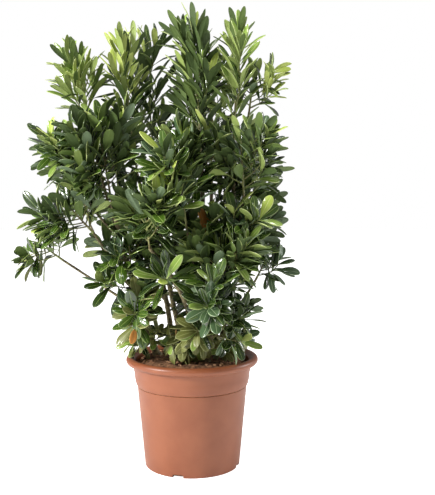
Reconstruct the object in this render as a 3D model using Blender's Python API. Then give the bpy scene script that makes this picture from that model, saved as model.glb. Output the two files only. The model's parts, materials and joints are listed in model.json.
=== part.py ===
# Japanese mock orange shrub in a round plastic nursery pot.
# Several stems rise from the potting mix, fork into boughs and carry separate masses of foliage.
# Metres, +Z up. The origin is the centre of the pot's flat underside, and the front faces -Y.

import bpy
import bmesh
import random
from math import cos, pi, radians, sin, tau
from mathutils import Matrix, Vector
from mathutils.bvhtree import BVHTree

# Gaps
CLEARANCE = 0.0003              # between solids that meet
MIX_CLEARANCE = 0.00036         # between the potting mix and the sloping wall, measured level
LIMB_CLEARANCE = 0.0010         # between a leaf and a stem or bough
SPACE_MARGIN = 0.0015           # how far a leaf stays inside its mass's own space

# Pot, a shell turned about the upright axis
POT_SEGMENTS = 40
POT_WALL = 0.0025
FOOT_RADIUS = 0.1190
FOOT_EDGE = 0.0045              # rounding of the bottom edge
FOOT_EDGE_STEPS = 2
FOOT_RING_INNER = 0.100
BOSS_RADIUS = 0.035
RECESS_DEPTH = 0.0025
RECESS_DRAFT = 0.0020
SHOULDER_RADIUS = 0.1372        # wall just under the collar
SHOULDER_HEIGHT = 0.2035
GROOVE_DEPTH = 0.0012
GROOVE_WIDTH = 0.0016
COLLAR_FOOT_RADIUS = 0.1394
COLLAR_RADIUS = 0.1444
COLLAR_KNEE = 0.236             # height where the collar turns upright
RIM_RADIUS = 0.1650
RIM_BEAD = 0.0096               # radius of the rolled rim
BEAD_START = radians(-125)      # angles round the bead, from where it leaves the collar outside
BEAD_END = radians(140)         # to where it meets the wall inside
BEAD_STEPS = 8
POT_HEIGHT = 0.2780
SHARP_EDGE = radians(35)
DRAIN_NOTCHES = 4
NOTCH_WIDTH = 0.028
NOTCH_HEIGHT = 0.009
NOTCH_BEARING = radians(-17.5)

# Potting mix, a root ball that stands a little proud in the middle
BALL_TOP = 0.274
BALL_RADIUS = 0.112
BALL_SHOULDER = 0.123
BALL_SHOULDER_HEIGHT = 0.268
MIX_EDGE_HEIGHT = 0.252         # mix against the wall of the pot

# Stems, boughs and twigs
STEM_SIDES = 6
BOUGH_SIDES = 5
TWIG_SIDES = 3
STEM_STEP = 0.080               # length of one straight piece
BOUGH_STEP = 0.060
TWIG_STEP = 0.080
FLARE = 0.55                    # widening at the foot of a stem, as a share of its radius
FLARE_HEIGHT = 0.018
TWIG_RADIUS = 0.0030
TWIG_TIP_RADIUS = 0.0018
TWIG_SAG = 0.10                 # share of its length, for a twig that leaves the side of a limb
SEAT_PROBES = 12                # points round a limb's foot that look for its carrier's surface
PROBE_START = 0.050             # how far out from the carrier they start
PARALLEL = 0.95                 # cosine past which two directions are too close to cross

# Side twigs of a mass
SIDE_TWIG_LENGTH = 0.066
SIDE_TWIG_ANGLE = radians(48)
SIDE_TWIG_FIRST = 0.30          # shares of the main twig's length
SIDE_TWIG_LAST = 0.72
SIDE_TWIG_TURN = radians(178.75)
SIDE_TWIG_RETRY = 0.7           # turn at each new try, in radians
SIDE_TWIG_BARE = 0.45           # share of a side twig below its first leaf
SIDE_TWIG_LEAVES = 1.6          # leaves for its length, against those of the main twig

# Each mass's own space: the points nearer to these places along its twig than to another's
SITE_SHARES = (0.15, 0.45, 0.75, 1.0)
SITE_AHEAD = 0.035              # one more place, past the tip

# Leaf, a flat blade that is widest past its middle
LEAF_LENGTH = 0.106
LEAF_VARIATION = (0.90, 1.06)
LEAF_WIDTH = 0.37               # shares of the leaf's length
LEAF_WIDEST = 0.64
LEAF_RIDGE = 0.27
LEAF_THICKNESS = 0.022
LEAF_STALK = 0.22               # this much of it may cross others in the crowd round its twig
LEAF_FACES = [(0, 1, 4), (1, 2, 4), (2, 3, 4), (3, 0, 4), (1, 0, 3), (1, 3, 2)]
ROOT_DEPTH = 0.00072            # how deep it is sunk, measured across the twig
ROOT_SLOPE = 0.3                # least sine of its angle to the twig that the depth counts
IN_LINE = 0.2                   # least length of its upward side for a leaf beside its twig

# Leaves along a twig, each a golden angle round from the last
SEED = 20
GOLDEN_ANGLE = radians(137.5)
BEARING_VARIATION = 0.2
FIRST_LEAF = 0.6                # place of the first leaf, in steps from leaf to leaf
LEAF_CROWDING = 0.75            # power of a leaf's place, under 1 to crowd them to the tip
LAST_LEAF = 0.985

# A leaf that has no room turns round its twig, closes up to it and shortens, try by try
LEAF_TRIES = 22
FREE_TRIES = 16                 # tries in which it has to miss its mass's other leaves
TURN_TRY = (0.5, 1.1)
CLOSE_TRY = 0.045
CLOSE_TRIES = 7                 # tries after which its angle starts again
SHORTEN_TRY = 0.05
SHORTEN_TRIES = 8

# Foot x and y, tip x, y and z, bow towards the tip's side, foot radius, tip radius
STEMS = {
    "stem_left": (-0.088, 0.012, -0.190, -0.068, 0.655, 0.006, 0.0085, 0.0046),
    "stem_front_left": (0.004, -0.050, -0.098, -0.126, 0.556, -0.040, 0.0072, 0.0042),
    "stem_mid_left": (-0.045, 0.042, -0.136, 0.028, 0.730, -0.008, 0.0070, 0.0040),
    "stem_centre": (0.014, 0.000, 0.024, -0.002, 0.770, 0.008, 0.0080, 0.0045),
    "stem_right": (0.068, 0.004, 0.102, -0.014, 0.780, 0.012, 0.0075, 0.0042),
    "stem_front_right": (0.036, -0.058, 0.058, -0.118, 0.474, 0.010, 0.0062, 0.0040),
    "stem_rear_left": (-0.020, 0.078, -0.096, 0.112, 0.720, 0.012, 0.0072, 0.0040),
    "stem_rear_right": (0.046, 0.066, 0.052, 0.158, 0.720, 0.020, 0.0075, 0.0042),
}

# Stem it leaves, share of the way up, tip x, y and z, sag, foot radius
BOUGHS = {
    "bough_top_left": ("stem_left", 0.72, -0.246, 0.004, 0.830, 0.020, 0.0040),
    "bough_far_left": ("stem_left", 0.80, -0.276, -0.024, 0.700, 0.012, 0.0036),
    "bough_left_middle": ("stem_left", 0.56, -0.232, -0.092, 0.590, 0.010, 0.0036),
    "bough_low_left": ("stem_left", 0.30, -0.314, -0.030, 0.520, 0.000, 0.0036),
    "bough_left_rear": ("stem_left", 0.44, -0.262, 0.088, 0.600, 0.018, 0.0036),
    "bough_front_upper": ("stem_centre", 0.36, -0.012, -0.118, 0.600, 0.022, 0.0038),
    "bough_right_front": ("stem_right", 0.52, 0.124, -0.086, 0.668, 0.012, 0.0036),
    "bough_right_upper": ("stem_right", 0.93, 0.140, 0.004, 0.872, 0.008, 0.0034),
    "bough_right_low": ("stem_right", 0.30, 0.144, -0.054, 0.545, 0.010, 0.0036),
    "bough_far_right": ("stem_right", 0.17, 0.158, -0.036, 0.474, 0.008, 0.0036),
    "bough_rear_left": ("stem_rear_left", 0.50, -0.196, 0.166, 0.700, 0.018, 0.0036),
    "bough_rear_low_left": ("stem_rear_left", 0.24, -0.140, 0.196, 0.500, 0.018, 0.0036),
    "bough_rear_middle": ("stem_rear_right", 0.46, -0.018, 0.214, 0.690, 0.016, 0.0036),
    "bough_rear_right": ("stem_rear_right", 0.50, 0.146, 0.172, 0.680, 0.018, 0.0036),
    "bough_rear_low_right": ("stem_rear_right", 0.22, 0.134, 0.144, 0.480, 0.014, 0.0036),
}

# How the leaves stand on each kind of mass: degrees to the twig at its tip and at its foot, share
# of the twig that is bare, number of side twigs, and how strongly the leaves turn up to the light
HABITS = {
    "upright": {"at_tip": 20, "at_foot": 70, "bare": 0.06, "side_twigs": 0, "lift": 0.10},
    "bushy": {"at_tip": 30, "at_foot": 84, "bare": 0.14, "side_twigs": 3, "lift": 0.14},
    "whorl": {"at_tip": 42, "at_foot": 96, "bare": 0.36, "side_twigs": 1, "lift": 0.08},
    "basal": {"at_tip": 74, "at_foot": 104, "bare": 0.30, "side_twigs": 1, "lift": -0.22},
}

# Limb it grows on, share of the way up it (1 is its tip), twig tip x, y and z, habit,
# number of leaves, size of the leaves
MASSES = {
    "foliage_top_centre": ("stem_centre", 1.0, 0.006, 0.000, 1.062, "upright", 34, 0.94),
    "foliage_top_right": ("stem_right", 1.0, 0.112, -0.020, 1.058, "upright", 30, 0.88),
    "foliage_top_middle_left": ("stem_mid_left", 1.0, -0.172, 0.018, 1.034, "upright", 28, 0.82),
    "foliage_top_left": ("bough_top_left", 1.0, -0.272, 0.000, 0.988, "upright", 20, 0.82),
    "foliage_top_rear_left": ("stem_rear_left", 1.0, -0.116, 0.104, 1.040, "upright", 26, 0.88),
    "foliage_top_rear_right": ("stem_rear_right", 1.0, 0.056, 0.172, 0.984, "upright", 24, 0.90),
    "foliage_left_upper": ("stem_left", 1.0, -0.218, -0.082, 0.836, "bushy", 24, 0.94),
    "foliage_far_left": ("bough_far_left", 1.0, -0.332, -0.024, 0.786, "bushy", 18, 0.80),
    "foliage_left_middle": ("bough_left_middle", 1.0, -0.286, -0.094, 0.650, "bushy", 18, 0.88),
    "foliage_low_left": ("bough_low_left", 1.0, -0.354, -0.036, 0.550, "whorl", 12, 0.78),
    "foliage_left_rear": ("bough_left_rear", 1.0, -0.286, 0.108, 0.700, "bushy", 18, 0.88),
    "foliage_front_upper": ("bough_front_upper", 1.0, -0.034, -0.140, 0.774, "bushy", 24, 0.94),
    "foliage_front_left": ("stem_front_left", 1.0, -0.108, -0.134, 0.640, "bushy", 18, 0.94),
    "foliage_front_right": ("stem_front_right", 1.0, 0.060, -0.124, 0.530, "bushy", 16, 0.88),
    "foliage_right_front": ("bough_right_front", 1.0, 0.116, -0.084, 0.806, "bushy", 20, 0.84),
    "foliage_right_upper": ("bough_right_upper", 1.0, 0.152, 0.000, 0.964, "bushy", 16, 0.72),
    "foliage_right_low": ("bough_right_low", 1.0, 0.160, -0.052, 0.602, "whorl", 14, 0.80),
    "foliage_far_right": ("bough_far_right", 1.0, 0.174, -0.040, 0.508, "whorl", 10, 0.80),
    "foliage_rear_left": ("bough_rear_left", 1.0, -0.206, 0.160, 0.826, "bushy", 20, 0.88),
    "foliage_rear_low_left": ("bough_rear_low_left", 1.0, -0.162, 0.196, 0.600, "bushy", 18, 0.86),
    "foliage_rear_middle": ("bough_rear_middle", 1.0, -0.026, 0.212, 0.820, "bushy", 20, 0.88),
    "foliage_rear_right": ("bough_rear_right", 1.0, 0.148, 0.160, 0.800, "bushy", 20, 0.84),
    "foliage_rear_low_right": ("bough_rear_low_right", 1.0, 0.142, 0.150, 0.576, "bushy", 16, 0.86),
    "foliage_centre_upper": ("stem_centre", 0.80, 0.040, -0.094, 0.812, "bushy", 18, 0.90),
    "foliage_centre_middle": ("stem_centre", 0.42, 0.030, -0.084, 0.590, "whorl", 14, 0.94),
    "foliage_right_middle": ("stem_right", 0.44, 0.100, -0.104, 0.640, "whorl", 14, 0.90),
    "foliage_right_side": ("stem_right", 0.64, 0.168, 0.062, 0.716, "bushy", 14, 0.86),
    "foliage_left_inner": ("stem_left", 0.52, -0.150, -0.078, 0.566, "whorl", 12, 0.90),
    "foliage_low_front_left": ("stem_left", 0.26, -0.128, -0.088, 0.426, "whorl", 14, 0.80),
    "foliage_low_front_right": ("stem_front_right", 0.62, 0.066, -0.150, 0.448, "whorl", 14, 0.84),
    "foliage_low_right": ("stem_front_right", 0.30, 0.100, -0.108, 0.410, "whorl", 12, 0.74),
    "foliage_low_rear": ("stem_rear_right", 0.16, 0.010, 0.146, 0.440, "whorl", 14, 0.84),
    "foliage_basal_left": ("stem_left", 0.10, -0.112, -0.040, 0.328, "whorl", 10, 0.56),
    "foliage_basal_front": ("stem_front_left", 0.20, -0.020, -0.096, 0.340, "basal", 14, 0.70),
    "foliage_basal_right": ("stem_right", 0.08, 0.096, -0.034, 0.324, "whorl", 10, 0.56),
}

# Colour as red, green and blue, and roughness
FINISHES = {
    "terracotta_plastic": ((0.50, 0.20, 0.11), 0.45),
    "potting_mix": ((0.10, 0.055, 0.035), 0.95),
    "brown_bark": ((0.20, 0.14, 0.08), 0.80),
    "green_foliage": ((0.10, 0.17, 0.05), 0.40),
    "young_foliage": ((0.25, 0.33, 0.09), 0.42),
    "old_foliage": ((0.16, 0.15, 0.06), 0.50),
}
YOUNG_MASSES = ("foliage_top_middle_left", "foliage_right_upper")
OLD_MASSES = ("foliage_basal_front", "foliage_basal_left", "foliage_basal_right")


def clear_scene():
    for old in list(bpy.data.objects):
        bpy.data.objects.remove(old, do_unlink=True)


def finish(name):
    material = bpy.data.materials.get(name) or bpy.data.materials.new(name)
    material.use_nodes = True
    shader = material.node_tree.nodes["Principled BSDF"]
    colour, roughness = FINISHES[name]
    shader.inputs["Base Color"].default_value = (*colour, 1.0)
    shader.inputs["Roughness"].default_value = roughness
    shader.inputs["Metallic"].default_value = 0.0
    return material


def object_from(name, points, faces, material=None):
    mesh = bpy.data.meshes.new(name)
    mesh.from_pydata([tuple(point) for point in points], [], faces)
    if material:
        mesh.materials.append(finish(material))
    made = bpy.data.objects.new(name, mesh)
    bpy.context.scene.collection.objects.link(made)
    return made


# Turns a profile of (radius, height) points about +Z, from its bottom centre round to its top centre
def turned_shell(profile):
    points = [Vector((0.0, 0.0, profile[0][1]))]
    rings = []
    for radius, height in profile[1:-1]:
        ring = []
        for step in range(POT_SEGMENTS):
            bearing = tau * step / POT_SEGMENTS
            ring.append(len(points))
            points.append(Vector((radius * cos(bearing), radius * sin(bearing), height)))
        rings.append(ring)
    last = len(points)
    points.append(Vector((0.0, 0.0, profile[-1][1])))
    faces = []
    for step in range(POT_SEGMENTS):
        after = (step + 1) % POT_SEGMENTS
        faces.append((0, rings[0][after], rings[0][step]))
        faces.append((last, rings[-1][step], rings[-1][after]))
        for lower, upper in zip(rings, rings[1:]):
            faces.append((lower[step], lower[after], upper[after], upper[step]))
    return points, faces


# Outer radius of the plain wall, between its foot and its shoulder
def wall_radius(height):
    share = (height - FOOT_EDGE) / (SHOULDER_HEIGHT - FOOT_EDGE)
    return FOOT_RADIUS + (SHOULDER_RADIUS - FOOT_RADIUS) * share


def pot_profile():
    floor = RECESS_DEPTH + POT_WALL
    groove_top = SHOULDER_HEIGHT + GROOVE_WIDTH
    collar_foot = groove_top + GROOVE_DEPTH
    bead_centre = POT_HEIGHT - RIM_BEAD
    bead_axis = RIM_RADIUS - RIM_BEAD
    profile = [(0.0, 0.0), (BOSS_RADIUS, 0.0)]
    profile.append((BOSS_RADIUS + RECESS_DRAFT, RECESS_DEPTH))
    profile.append((FOOT_RING_INNER - RECESS_DRAFT, RECESS_DEPTH))
    profile.append((FOOT_RING_INNER, 0.0))
    for step in range(FOOT_EDGE_STEPS + 1):
        angle = pi / 2 * step / FOOT_EDGE_STEPS
        profile.append((FOOT_RADIUS - FOOT_EDGE * (1 - sin(angle)), FOOT_EDGE * (1 - cos(angle))))
    profile.append((SHOULDER_RADIUS, SHOULDER_HEIGHT))
    profile.append((SHOULDER_RADIUS - GROOVE_DEPTH, SHOULDER_HEIGHT + GROOVE_WIDTH / 2))
    profile.append((SHOULDER_RADIUS, groove_top))
    profile.append((COLLAR_FOOT_RADIUS, collar_foot))
    profile.append((COLLAR_RADIUS, COLLAR_KNEE))
    for step in range(BEAD_STEPS + 1):
        angle = BEAD_START + (BEAD_END - BEAD_START) * step / BEAD_STEPS
        profile.append((bead_axis + RIM_BEAD * cos(angle), bead_centre + RIM_BEAD * sin(angle)))
    profile.append((COLLAR_RADIUS - POT_WALL, bead_centre))
    profile.append((COLLAR_RADIUS - POT_WALL, COLLAR_KNEE))
    profile.append((SHOULDER_RADIUS - POT_WALL, SHOULDER_HEIGHT))
    profile.append((wall_radius(floor) - POT_WALL, floor))
    profile.append((0.0, floor))
    return profile


def notch_cutters():
    cutters = []
    reach = FOOT_RADIUS - FOOT_RING_INNER + 2 * FOOT_EDGE
    for step in range(DRAIN_NOTCHES):
        bearing = NOTCH_BEARING + tau * step / DRAIN_NOTCHES
        mesh = bpy.data.meshes.new("notch_cutter")
        shape = bmesh.new()
        bmesh.ops.create_cube(shape, size=1.0)
        shape.to_mesh(mesh)
        shape.free()
        size = Matrix.Diagonal((reach, NOTCH_WIDTH, 2 * NOTCH_HEIGHT, 1.0))
        centre = Matrix.Translation((FOOT_RING_INNER + reach / 2, 0.0, 0.0))
        mesh.transform(Matrix.Rotation(bearing, 4, "Z") @ centre @ size)
        cutters.append(bpy.data.objects.new("notch_cutter", mesh))
    return cutters


# Joins a collection's objects to a solid, or cuts them from it, then removes them
def combine(solid, others, operation, solver):
    helpers = bpy.data.collections.new("helpers")
    bpy.context.scene.collection.children.link(helpers)
    for other in others:
        helpers.objects.link(other)
    change = solid.modifiers.new("combine", "BOOLEAN")
    change.operation = operation
    change.operand_type = "COLLECTION"
    change.collection = helpers
    change.solver = solver
    bpy.context.view_layer.update()
    seen = solid.evaluated_get(bpy.context.evaluated_depsgraph_get())
    joined = bpy.data.meshes.new_from_object(seen)
    solid.modifiers.remove(change)
    solid.data = joined
    for other in others:
        bpy.data.objects.remove(other, do_unlink=True)
    bpy.data.collections.remove(helpers)


def make_pot():
    points, faces = turned_shell(pot_profile())
    pot = object_from("pot", points, faces, "terracotta_plastic")
    combine(pot, notch_cutters(), "DIFFERENCE", "EXACT")
    pot.data.shade_smooth()
    pot.data.set_sharp_from_angle(angle=SHARP_EDGE)
    return {"tree": tree_of(points, faces)}


def make_potting_mix():
    floor = RECESS_DEPTH + POT_WALL + CLEARANCE
    inner = POT_WALL + MIX_CLEARANCE
    profile = [(0.0, floor), (wall_radius(floor) - inner, floor)]
    profile.append((SHOULDER_RADIUS - inner, SHOULDER_HEIGHT))
    profile.append((COLLAR_RADIUS - inner, COLLAR_KNEE))
    profile.append((COLLAR_RADIUS - inner, MIX_EDGE_HEIGHT))
    profile.append((BALL_SHOULDER, BALL_SHOULDER_HEIGHT))
    profile.append((BALL_RADIUS, BALL_TOP))
    profile.append((0.0, BALL_TOP))
    points, faces = turned_shell(profile)
    object_from("potting_mix", points, faces, "potting_mix")
    return {"tree": tree_of(points, faces)}


# Points along a limb that bends by its bow from the straight line between its ends
def limb_route(start, end, bend, piece):
    pieces = max(2, round((end - start).length / piece))
    route = []
    for step in range(pieces + 1):
        share = step / pieces
        route.append(start.lerp(end, share) + bend * 4 * share * (1 - share))
    return route


def point_on(route, share):
    place = share * (len(route) - 1)
    index = min(int(place), len(route) - 2)
    return route[index].lerp(route[index + 1], place - index)


def heading_on(route, share):
    index = min(int(share * (len(route) - 1)), len(route) - 2)
    return (route[index + 1] - route[index]).normalized()


# Tapering tube of flat sides; its first ring can face a way of its own
def tube(route, radii, sides, first_facing=None):
    points = []
    side = Vector((1.0, 0.0, 0.0))
    for index, centre in enumerate(route):
        before = route[max(index - 1, 0)]
        after = route[min(index + 1, len(route) - 1)]
        facing = (after - before).normalized()
        if index == 0 and first_facing:
            facing = first_facing
        if abs(facing.dot(side)) > PARALLEL:
            side = Vector((0.0, 1.0, 0.0))
        side = (side - facing * side.dot(facing)).normalized()
        other = facing.cross(side)
        for step in range(sides):
            turn = tau * step / sides
            points.append(centre + (side * cos(turn) + other * sin(turn)) * radii[index])
    faces = [tuple(reversed(range(sides)))]
    for ring in range(len(route) - 1):
        for step in range(sides):
            after = (step + 1) % sides
            low = ring * sides
            faces.append((low + step, low + after, low + sides + after, low + sides + step))
    faces.append(tuple(range(len(points) - sides, len(points))))
    return points, faces


# Surface that is searched for touching faces
def tree_of(points, faces):
    return BVHTree.FromPolygons([tuple(point) for point in points], faces)


# Moves a limb's foot along a line until it lies the clearance away from the carrier's surface
def seated(carrier, foot, facing, radius):
    start = foot + facing * PROBE_START
    side = facing.orthogonal().normalized()
    other = facing.cross(side)
    nearest = None
    for step in range(SEAT_PROBES):
        turn = tau * step / SEAT_PROBES
        probe = start + (side * cos(turn) + other * sin(turn)) * radius
        for place in (start, probe, start.lerp(probe, 0.5)):
            distance = carrier["tree"].ray_cast(place, -facing)[3]
            if distance is not None and (nearest is None or distance < nearest):
                nearest = distance
    return start - facing * (nearest - CLEARANCE)


def make_limb(name, route, radii, sides, first_facing, material):
    points, faces = tube(route, radii, sides, first_facing)
    object_from(name, points, faces, material)
    return {"route": route, "radii": radii, "tree": tree_of(points, faces)}


def grow_stem(name):
    foot_x, foot_y, tip_x, tip_y, tip_z, bow, foot_radius, tip_radius = STEMS[name]
    foot = Vector((foot_x, foot_y, BALL_TOP + CLEARANCE))
    tip = Vector((tip_x, tip_y, tip_z))
    aside = Vector((tip_x - foot_x, tip_y - foot_y, 0.0)).normalized()
    route = limb_route(foot, tip, aside * bow, STEM_STEP)
    route.insert(1, point_on(route, FLARE_HEIGHT / (tip_z - BALL_TOP)))
    radii = []
    for centre in route:
        share = (centre.z - foot.z) / (tip.z - foot.z)
        radii.append(foot_radius + (tip_radius - foot_radius) * share)
    radii[0] *= 1 + FLARE
    return make_limb(name, route, radii, STEM_SIDES, Vector((0.0, 0.0, 1.0)), "brown_bark")


# Foot of a limb on the side of its carrier that faces the limb's tip
def side_seat(carrier, share, tip, radius):
    place = point_on(carrier["route"], share)
    heading = heading_on(carrier["route"], share)
    aside = tip - place
    aside = (aside - heading * aside.dot(heading)).normalized()
    return seated(carrier, place, aside, radius), aside


def grow_bough(name, limbs):
    carrier_name, share, tip_x, tip_y, tip_z, sag, foot_radius = BOUGHS[name]
    tip = Vector((tip_x, tip_y, tip_z))
    foot, aside = side_seat(limbs[carrier_name], share, tip, foot_radius)
    route = limb_route(foot, tip, Vector((0.0, 0.0, -sag)), BOUGH_STEP)
    radii = []
    for step in range(len(route)):
        radii.append(foot_radius + (TWIG_RADIUS - foot_radius) * step / (len(route) - 1))
    return make_limb(name, route, radii, BOUGH_SIDES, aside, "brown_bark")


# Main twig of a mass, from its seat on a limb's side or tip to the mass's own tip
def main_twig(name, limbs):
    carrier_name, share, tip_x, tip_y, tip_z = MASSES[name][:5]
    carrier = limbs[carrier_name]
    tip = Vector((tip_x, tip_y, tip_z))
    if share < 1.0:
        foot, facing = side_seat(carrier, share, tip, TWIG_RADIUS)
        sag = TWIG_SAG * (tip - foot).length
    else:
        facing = (carrier["route"][-1] - carrier["route"][-2]).normalized()
        foot = carrier["route"][-1] + facing * CLEARANCE
        sag = 0.0
    route = limb_route(foot, tip, Vector((0.0, 0.0, -sag)), TWIG_STEP)
    return route, facing


def twig_radii(count):
    radii = []
    for step in range(count):
        radii.append(TWIG_RADIUS + (TWIG_TIP_RADIUS - TWIG_RADIUS) * step / (count - 1))
    return radii


def space_sites(route):
    sites = [point_on(route, share) for share in SITE_SHARES]
    sites.append(route[-1] + heading_on(route, 1.0) * SITE_AHEAD)
    return sites


def inside_space(points, rule):
    for point in points:
        best = min(rule["own_sites"], key=lambda site: (point - site).length_squared)
        nearest = (point - best).length_squared
        for site in rule["other_sites"]:
            gap = (point - site).length_squared - nearest
            if gap < 2 * SPACE_MARGIN * (site - best).length:
                return False
    return True


# Leaf with a flat underside and a low ridge on top: root, side, tip, side and ridge
def leaf_points(root, along, across, facing, length):
    half = across * (length * LEAF_WIDTH / 2)
    widest = root + along * (length * LEAF_WIDEST)
    ridge = root + along * (length * LEAF_RIDGE) + facing * (length * LEAF_THICKNESS)
    return [root, widest - half, root + along * length, widest + half, ridge]


# Points spread over a shape, its corners and places between them
def spread_points(corners):
    spread = list(corners)
    for first in range(len(corners)):
        for second in range(first + 1, len(corners)):
            for share in (0.25, 0.5, 0.75):
                spread.append(corners[first].lerp(corners[second], share))
    return spread


# Points moved out from their middle
def swollen(points, amount):
    middle = sum(points, Vector()) / len(points)
    grown = []
    for point in points:
        away = point - middle
        grown.append(point + away.normalized() * amount)
    return grown


def touches_any(points, faces, trees):
    shape = tree_of(points, faces)
    for tree in trees:
        if shape.overlap(tree):
            return True
    return False


# The part of a leaf beyond the crowd round its twig
def outer_blade(corners):
    return [corners[0].lerp(corners[2], LEAF_STALK)] + corners[1:]


# One leaf on a twig; it is turned, closed up and shortened until it keeps to its space, clear of
# the obstacles and, for as many tries as the crowd allows, of the mass's other leaves
def grow_leaf(rule, twig, share, bearing, angle, length):
    heading = heading_on(twig, share)
    side = heading.orthogonal().normalized()
    place = point_on(twig, share)
    lift = Vector((0.0, 0.0, rule["habit"]["lift"]))
    for attempt in range(LEAF_TRIES):
        turned = bearing + attempt * rule["random"].uniform(*TURN_TRY)
        raised = angle * (1 - CLOSE_TRY * (attempt % CLOSE_TRIES))
        size = length * (1 - SHORTEN_TRY * (attempt % SHORTEN_TRIES))
        outward = Matrix.Rotation(turned, 3, heading) @ side
        along = (heading * cos(raised) + outward * sin(raised) + lift).normalized()
        facing = heading - along * heading.dot(along)
        if facing.length < IN_LINE:
            continue
        facing.normalize()
        root = place - along * (ROOT_DEPTH / max(sin(raised), ROOT_SLOPE))
        corners = leaf_points(root, along, facing.cross(along), facing, size)
        if not inside_space(spread_points(corners), rule):
            continue
        if touches_any(swollen(corners, LIMB_CLEARANCE), LEAF_FACES, rule["obstacles"]):
            continue
        blade = outer_blade(corners)
        if attempt < FREE_TRIES and touches_any(blade, LEAF_FACES, rule["blades"]):
            continue
        rule["blades"].append(tree_of(blade, LEAF_FACES))
        return corners
    return None


def grow_side_twig(rule, route, index, count):
    share = SIDE_TWIG_FIRST + (SIDE_TWIG_LAST - SIDE_TWIG_FIRST) * index / max(count - 1, 1)
    heading = heading_on(route, share)
    side = heading.orthogonal().normalized()
    place = point_on(route, share)
    for attempt in range(LEAF_TRIES):
        turned = rule["first_bearing"] + SIDE_TWIG_TURN * index + SIDE_TWIG_RETRY * attempt
        outward = Matrix.Rotation(turned, 3, heading) @ side
        along = heading * cos(SIDE_TWIG_ANGLE) + outward * sin(SIDE_TWIG_ANGLE)
        twig = [place, place + along * SIDE_TWIG_LENGTH * rule["size"]]
        if not inside_space(twig, rule):
            continue
        points, faces = tube(twig, [TWIG_TIP_RADIUS + LIMB_CLEARANCE] * 2, TWIG_SIDES)
        if not touches_any(points, faces, rule["obstacles"]):
            return twig
    return None


# The main twig of a mass and those of its side twigs that find room
def leafy_twigs(rule, route):
    twigs = [route]
    count = rule["habit"]["side_twigs"]
    for index in range(count):
        twig = grow_side_twig(rule, route, index, count)
        if twig:
            twigs.append(twig)
    return twigs


def share_out_leaves(count, twigs):
    weights = []
    for index, twig in enumerate(twigs):
        length = (twig[-1] - twig[0]).length
        weights.append(length * (SIDE_TWIG_LEAVES if index else 1.0))
    return [round(count * weight / sum(weights)) for weight in weights]


def grow_leaves(rule, twig, count, bare):
    leaves = []
    at_foot = rule["habit"]["at_foot"]
    at_tip = rule["habit"]["at_tip"]
    for number in range(count):
        place = (number + FIRST_LEAF) / count
        share = bare + (1 - bare) * place ** LEAF_CROWDING * LAST_LEAF
        angle = radians(at_foot + (at_tip - at_foot) * place)
        bearing = rule["first_bearing"] + GOLDEN_ANGLE * number
        bearing += rule["random"].uniform(-BEARING_VARIATION, BEARING_VARIATION)
        length = LEAF_LENGTH * rule["size"] * rule["random"].uniform(*LEAF_VARIATION)
        corners = grow_leaf(rule, twig, share, bearing, angle, length)
        if corners:
            leaves.append(object_from("leaf", corners, LEAF_FACES))
    return leaves


def foliage_finish(name):
    if name in YOUNG_MASSES:
        return "young_foliage"
    if name in OLD_MASSES:
        return "old_foliage"
    return "green_foliage"


def grow_mass(name, route, facing, sites, obstacles):
    habit, leaf_count, size = MASSES[name][5:]
    draws = random.Random(SEED + sum(map(ord, name)))
    rule = {"habit": HABITS[habit], "size": size, "random": draws}
    rule["first_bearing"] = draws.uniform(0, tau)
    rule["own_sites"] = sites[name]
    rule["other_sites"] = [site for other in sites if other != name for site in sites[other]]
    rule["obstacles"] = obstacles
    rule["blades"] = []
    twigs = leafy_twigs(rule, route)
    leaves = []
    for index, (twig, count) in enumerate(zip(twigs, share_out_leaves(leaf_count, twigs))):
        bare = SIDE_TWIG_BARE if index else rule["habit"]["bare"]
        leaves.extend(grow_leaves(rule, twig, count, bare))
    parts = list(leaves)
    for twig in twigs[1:]:
        points, faces = tube(twig, twig_radii(len(twig)), TWIG_SIDES)
        parts.append(object_from("twig", points, faces))
    points, faces = tube(route, twig_radii(len(route)), TWIG_SIDES, facing)
    mass = object_from(name, points, faces, foliage_finish(name))
    combine(mass, parts, "UNION", "MANIFOLD")
    keep_one_body(mass)
    print(name, "leaves", len(leaves), "of", leaf_count, "triangles", len(mass.data.loop_triangles))
    return len(leaves)


# Drops loose scraps and sealed hollows: only the largest closed body of a mass stays
def keep_one_body(solid):
    shape = bmesh.new()
    shape.from_mesh(solid.data)
    bmesh.ops.triangulate(shape, faces=shape.faces[:])
    left = set(shape.faces)
    bodies = []
    while left:
        body = []
        front = [left.pop()]
        while front:
            face = front.pop()
            body.append(face)
            for edge in face.edges:
                for neighbour in edge.link_faces:
                    if neighbour in left:
                        left.remove(neighbour)
                        front.append(neighbour)
        bodies.append(body)
    bodies.sort(key=len, reverse=True)
    scraps = [face for body in bodies[1:] for face in body]
    bmesh.ops.delete(shape, geom=scraps, context="FACES")
    shape.to_mesh(solid.data)
    shape.free()
    solid.data.calc_loop_triangles()


def make_plant(pot, mix):
    limbs = {}
    for name in STEMS:
        limbs[name] = grow_stem(name)
    for name in BOUGHS:
        limbs[name] = grow_bough(name, limbs)
    twigs = {}
    sites = {}
    for name in MASSES:
        twigs[name] = main_twig(name, limbs)
        sites[name] = space_sites(twigs[name][0])
    obstacles = [solid["tree"] for solid in [pot, mix, *limbs.values()]]
    total = 0
    for name in MASSES:
        route, facing = twigs[name]
        total += grow_mass(name, route, facing, sites, obstacles)
    print("leaves in all", total)


clear_scene()
make_plant(make_pot(), make_potting_mix())
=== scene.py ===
# Japanese mock orange shrub in a terracotta-coloured plastic nursery pot.
# Metres, +Z up, front towards -Y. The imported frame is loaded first; every piece here rides on it.
import json
import random
import bpy
import numpy as np
from math import cos, pi, radians, sin, tau
from mathutils import Matrix, Vector, noise
from mathutils.bvhtree import BVHTree

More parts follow.
